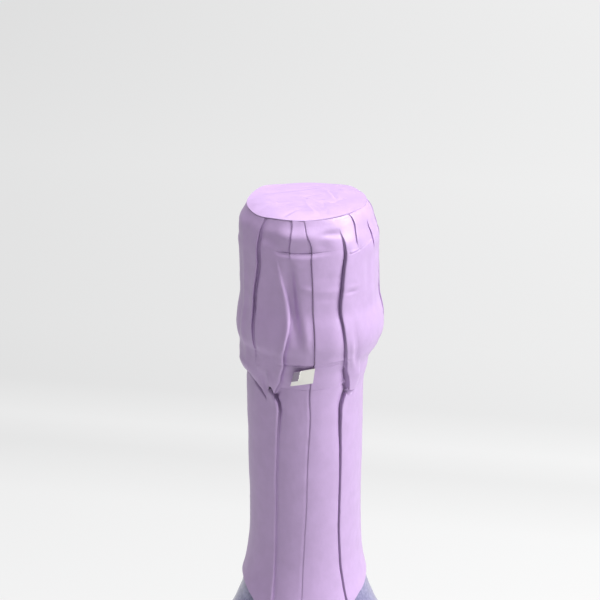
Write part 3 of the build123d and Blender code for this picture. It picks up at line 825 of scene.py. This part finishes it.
def top_disc_piece():
    """The capsule's top disc, crumpled a little, with its edge pressed down over the rim."""
    bearings = np.linspace(0, 360, disc_columns, endpoint=False)[None, :]
    shares = np.concatenate([
        np.linspace(0.01, 0.88, 70), np.linspace(0.89, 0.985, 14), [0.993, 0.998, 1.0]
    ])[:, None]
    low = around(disc_edge, bearings)
    low = low + edge_wave * np.sin(np.radians(5 * bearings + 20))
    left, right = outline_radii(low)
    corners = sum(bell(bearings - corner, corner_width) for corner in disc_corners)
    reach = shares * ((left + right) / 2 + disc_overlap + corner_reach * corners)
    x = reach * np.cos(np.radians(bearings))
    y = reach * np.sin(np.radians(bearings))
    top = disc_top - disc_sunk
    drop = (top - low) * np.clip((shares - dish_start) / (1 - dish_start), 0, 1) ** dish_curve
    lifted = corner_lift * corners * np.clip((shares - 0.5) / 0.5, 0, 1) ** 2
    waves = disc_waves(x, y) * np.clip((1 - shares) / flat_rim, rim_crumple, 1)
    outside = np.stack([x + (right - left) / 2, y, top + waves - drop + lifted], axis=-1)
    inside = outside - [0, 0, foil_thickness]
    return shell_piece("top_disc_foil", outside[::-1], inside[::-1], np.zeros_like(x))


def tab_fold():
    """Where the tab's fold runs, in millimetres, and its direction."""
    joints = frame["record"]["behaviour"]["joints"]
    joint = next(joint for joint in joints if joint["name"] == "tab_pull")
    return [part / MM for part in joint["pos_m"]], joint["axis"]


def tab_pieces():
    """The strip's bare end, curled a little, its upper corner folded over: flap and root.

    The flap swings about the joint's fold, and the root beside it stays on the strip.
    """
    upward = np.linspace(0, 1, tab_rows)[:, None]
    corners = {name: np.array(place) for name, place in tab_corners.items()}
    right = corners["low_right"] * (1 - upward) + corners["high_right"] * upward
    left = corners["low_left"] * (1 - upward) + corners["high_left"] * upward
    (fold_x, fold_y, fold_z), axis = tab_fold()
    fold = fold_x + (right[:, 1:] - fold_z) * axis[0] / axis[2]
    share = np.clip((right[:, :1] - fold) / (right[:, :1] - left[:, :1]), 0, 1)
    pieces = []
    for name, start, end in (("tab_foil", share, 1), ("tab_root", 0, share)):
        across = start + (end - start) * np.linspace(0, 1, tab_columns)[None, :]
        x = left[:, :1] * across + right[:, :1] * (1 - across)
        z = left[:, 1:] * across + right[:, 1:] * (1 - across)
        ground = np.hypot(fold_x, fold_y) + (z - fold_z) * -axis[1] / axis[2]
        curl = tab_curl * across**2 + tab_wave * np.sin(3.0 * upward + 0.5) * across
        folded = np.clip((across - corner_across) / corner_soft_across, 0, 1)
        folded = folded * np.clip((upward - corner_upward) / corner_soft_upward, 0, 1)
        out = np.sqrt(ground**2 - x**2) + curl + corner_rise * folded
        front = np.stack([x, -out, z], axis=-1)
        piece = grid_piece(name, front[:, ::-1] * MM)
        # The folded corner gets the second material: the foil's lilac outer side, darkened as
        # painted shade
        corner = (folded[:, ::-1][:-1, 1:] > 0.5).astype(int)
        piece.data.polygons.foreach_set("material_index", corner.reshape(-1).tolist())
        pieces.append(piece)
    return pieces


def new_material(name):
    """A material, its node tree and its shader."""
    material = bpy.data.materials.new(name)
    material.use_nodes = True
    return material, material.node_tree, material.node_tree.nodes["Principled BSDF"]


def noise(tree, scale, detail=4.0, roughness=0.55):
    """A noise over the object's own coordinates."""
    coordinates = tree.nodes.new("ShaderNodeTexCoord")
    texture = tree.nodes.new("ShaderNodeTexNoise")
    texture.inputs["Scale"].default_value = scale
    texture.inputs["Detail"].default_value = detail
    texture.inputs["Roughness"].default_value = roughness
    tree.links.new(coordinates.outputs["Object"], texture.inputs["Vector"])
    return texture.outputs["Fac"]


def ramp(tree, value, stops):
    """Colours along a value: stops of place and colour."""
    node = tree.nodes.new("ShaderNodeValToRGB")
    elements = node.color_ramp.elements
    elements[0].position, elements[0].color = stops[0][0], (*stops[0][1], 1)
    elements[1].position, elements[1].color = stops[-1][0], (*stops[-1][1], 1)
    for place, colour in stops[1:-1]:
        elements.new(place).color = (*colour, 1)
    tree.links.new(value, node.inputs["Fac"])
    return node.outputs["Color"]


def bump(tree, shader, value, strength, distance):
    """Fine relief from a value."""
    node = tree.nodes.new("ShaderNodeBump")
    node.inputs["Strength"].default_value = strength
    node.inputs["Distance"].default_value = distance
    tree.links.new(value, node.inputs["Height"])
    tree.links.new(node.outputs["Normal"], shader.inputs["Normal"])


def foil_material(name, colour, metallic, roughness):
    """Lacquered capsule foil: satin, with painted shade in its creases and under the hem, and a
    fine crinkle.
    """
    material, tree, shader = new_material(name)
    pale = tuple(min(1, part * 1.03) for part in colour)
    deep = tuple(part * 0.97 for part in colour)
    shade = ramp(tree, noise(tree, 260, 3), [(0.35, deep), (0.65, pale)])
    # Painted shade: the colour is darkened where the sheet's crease attribute marks a crease or
    # the gap under the hem
    creases = tree.nodes.new("ShaderNodeAttribute")
    creases.attribute_name = "crease"
    darkened = tree.nodes.new("ShaderNodeMixRGB")
    darkened.inputs["Color2"].default_value = (*(part * crease_shade for part in colour), 1)
    tree.links.new(creases.outputs["Fac"], darkened.inputs["Fac"])
    tree.links.new(shade, darkened.inputs["Color1"])
    tree.links.new(darkened.outputs["Color"], shader.inputs["Base Color"])
    shader.inputs["Metallic"].default_value = metallic
    shader.inputs["Roughness"].default_value = roughness
    shader.inputs["Specular IOR Level"].default_value = 0.5
    bump(tree, shader, noise(tree, 900, 4, 0.6), 0.12, 0.0003)
    return material


def glass_material():
    """The glass under its pearly blue-violet coating, softly mottled."""
    material, tree, shader = new_material("coated_glass")
    shade = ramp(tree, noise(tree, 900, 5, 0.6), glass_shades)
    tree.links.new(shade, shader.inputs["Base Color"])
    shader.inputs["Metallic"].default_value = 0.2
    shader.inputs["Roughness"].default_value = 0.34
    shader.inputs["Coat Weight"].default_value = 0.5
    shader.inputs["Coat Roughness"].default_value = 0.12
    bump(tree, shader, noise(tree, 1400, 5, 0.6), 0.25, 0.0002)
    return material


def plain_material(name, colour, roughness, metallic=0.0, spread=0.08, scale=400):
    """A material with a little variation in its colour."""
    material, tree, shader = new_material(name)
    pale = tuple(min(1, part * (1 + spread)) for part in colour)
    deep = tuple(part * (1 - spread) for part in colour)
    shade = ramp(tree, noise(tree, scale), [(0.3, deep), (0.7, pale)])
    tree.links.new(shade, shader.inputs["Base Color"])
    shader.inputs["Roughness"].default_value = roughness
    shader.inputs["Metallic"].default_value = metallic
    return material


def dress_foil():
    """The capsule's sheets and the tab, on their bodies and in place of their solids."""
    lilac = foil_material("lilac_foil", lilac_colour, 0.05, 0.44)
    bare = foil_material("bare_foil", bare_colour, 0.45, 0.38)
    hood_folds = (fold_lines, hood_laps, hood_swells, hood_slits)
    down_neck = {name: line for name, line in fold_lines.items() if name != "ear_gap"}
    neck_folds = ({**down_neck, **neck_lines}, neck_laps, neck_swells, neck_slits)
    for piece, body, node in (
        (hood_piece(hood_folds), "hood", "foil_hood"),
        (strip_piece(hood_folds), "bottle", "tear_strip"),
        (neck_piece(neck_folds), "bottle", "neck_foil"),
        (top_disc_piece(), "hood", "foil_top_disc"),
    ):
        piece.data.materials.append(lilac)
        piece.data.materials.append(bare)
        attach(piece, body)
        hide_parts(node)
    tab, root = tab_pieces()
    # The folded corner: the foil's lilac outer side, its colour darkened as painted shade
    foil_back_in_painted_shade = foil_material("foil_back_in_painted_shade", back_colour_in_painted_shade, 0.2, 0.55)
    for piece, body in ((tab, "tab"), (root, "bottle")):
        piece.data.materials.append(bare)
        piece.data.materials.append(foil_back_in_painted_shade)
        thicken(piece, tab_thickness)
        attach(piece, body)
    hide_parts("tear_tab")


def dress_nodes():
    """Materials for the solids that stay in view: glass, wine, cork and cage."""
    looks = {
        "glass_bottle": glass_material(),
        "wine": plain_material("wine_gold", wine_colour, 0.1),
        "cork_body": plain_material("cork_granules", granule_colour, 0.8, 0, 0.3, 900),
        "cork_disc_upper": plain_material("cork_natural", cork_colour, 0.8, 0, 0.2, 500),
        "cork_disc_lower": plain_material("cork_natural_low", cork_colour, 0.8, 0, 0.2, 500),
        "cap_plate": plain_material("cap_lacquer", plate_colour, 0.35, 0.3),
        "cage_frame": plain_material("cage_wire", wire_colour, 0.4, 0.9),
        "belt_wire": plain_material("belt_wire", wire_colour, 0.4, 0.9),
        "wire_loop": plain_material("loop_wire", wire_colour, 0.4, 0.9),
    }
    for node, material in looks.items():
        frame["nodes"][node].data.materials.clear()
        frame["nodes"][node].data.materials.append(material)


def add_camera():
    """The camera, where the photograph was taken from."""
    data = bpy.data.cameras.new("camera")
    data.lens = camera_lens
    data.sensor_width = 36
    data.clip_start = 0.01
    data.clip_end = 20
    camera = bpy.data.objects.new("camera", data)
    bpy.context.collection.objects.link(camera)
    rise = radians(camera_elevation)
    back = Vector((0, -cos(rise), sin(rise))) * camera_distance
    camera.location = (Vector(camera_aim) + back) * MM
    camera.rotation_euler = (pi / 2 - rise, 0, 0)
    bpy.context.scene.camera = camera


def add_area(name, place, size, power):
    """A round soft lamp turned to the capsule."""
    data = bpy.data.lights.new(name, "AREA")
    data.shape = "DISK"
    data.size = size
    data.energy = power
    lamp = bpy.data.objects.new(name, data)
    lamp.location = place
    towards = Vector(lamp_target) - Vector(place)
    lamp.rotation_euler = towards.to_track_quat("-Z", "Y").to_euler()
    bpy.context.collection.objects.link(lamp)


def map_range(tree, value, start, end, low=0.0, high=1.0):
    """A value taken from one range to another."""
    node = tree.nodes.new("ShaderNodeMapRange")
    node.inputs["From Min"].default_value = start
    node.inputs["From Max"].default_value = end
    node.inputs["To Min"].default_value = low
    node.inputs["To Max"].default_value = high
    tree.links.new(value, node.inputs["Value"])
    return node.outputs["Result"]


def painted_floor_light_and_shadow(tree):
    """The floor's painted shadow bands as the camera sees them, slanting back, and painted light
    making it brighter to the right.
    """
    nodes, links = tree.nodes, tree.links
    place = nodes.new("ShaderNodeSeparateXYZ")
    links.new(nodes.new("ShaderNodeTexCoord").outputs["Object"], place.inputs["Vector"])
    slant = nodes.new("ShaderNodeMath")
    slant.operation = "MULTIPLY_ADD"
    slant.inputs[1].default_value = band_slant
    links.new(place.outputs["X"], slant.inputs[0])
    links.new(place.outputs["Y"], slant.inputs[2])
    along = map_range(tree, slant.outputs["Value"], *band_reach)
    grey = ramp(tree, along, [(share, (v, v, v)) for share, v in floor_painted_shadow_bands])
    glow = nodes.new("ShaderNodeEmission")
    links.new(grey, glow.inputs["Color"])
    strength = map_range(tree, place.outputs["X"], -side_reach, side_reach, *painted_side_light)
    links.new(strength, glow.inputs["Strength"])
    return glow.outputs["Emission"]


def mix_shaders(tree, first, second):
    """A mix of two shaders, and the socket of the second one's share."""
    mixed = tree.nodes.new("ShaderNodeMixShader")
    tree.links.new(first, mixed.inputs[1])
    tree.links.new(second, mixed.inputs[2])
    return mixed.outputs["Shader"], mixed.inputs["Fac"]


def add_floor():
    """A wide pale floor, with faint soft painted shadow bands far behind and the object's cast
    shadow on it.
    """
    points = np.array([[(x, y, 0.0) for x in (-6.0, 0.0, 6.0)] for y in (-5.0, 0.0, 9.0)])
    floor = grid_piece("floor", points)
    material, tree, shader = new_material("floor_white")
    shader.inputs["Base Color"].default_value = (0.8, 0.8, 0.8, 1)
    shader.inputs["Roughness"].default_value = 0.9
    plain = shader.outputs["BSDF"]
    seen, lit_share = mix_shaders(tree, painted_floor_light_and_shadow(tree), plain)
    lit_share.default_value = floor_lit_share
    mixed, seen_share = mix_shaders(tree, plain, seen)
    path = tree.nodes.new("ShaderNodeLightPath")
    either = tree.nodes.new("ShaderNodeMath")
    either.operation = "MAXIMUM"
    tree.links.new(path.outputs["Is Camera Ray"], either.inputs[0])
    tree.links.new(path.outputs["Is Glossy Ray"], either.inputs[1])
    tree.links.new(either.outputs["Value"], seen_share)
    tree.links.new(mixed, tree.nodes["Material Output"].inputs["Surface"])
    floor.data.materials.append(material)


def add_world():
    """Soft light from all round, seen as the same pale grey as the far floor."""
    world = bpy.data.worlds.new("studio")
    world.use_nodes = True
    tree = world.node_tree
    light = tree.nodes["Background"]
    light.inputs["Color"].default_value = (0.95, 0.97, 1.0, 1)
    light.inputs["Strength"].default_value = world_strength
    seen = tree.nodes.new("ShaderNodeBackground")
    seen.inputs["Color"].default_value = (0.75, 0.75, 0.75, 1)
    mixed, share = mix_shaders(tree, light.outputs["Background"], seen.outputs["Background"])
    path = tree.nodes.new("ShaderNodeLightPath")
    tree.links.new(path.outputs["Is Camera Ray"], share)
    tree.links.new(mixed, tree.nodes["World Output"].inputs["Surface"])
    bpy.context.scene.world = world


under_foil = inner_reach()
dress_foil()
dress_nodes()
add_camera()
add_floor()
add_world()
for name, place, size, power in lamps:
    add_area(name, place, size, power)
bpy.context.scene.view_settings.view_transform = "Standard"
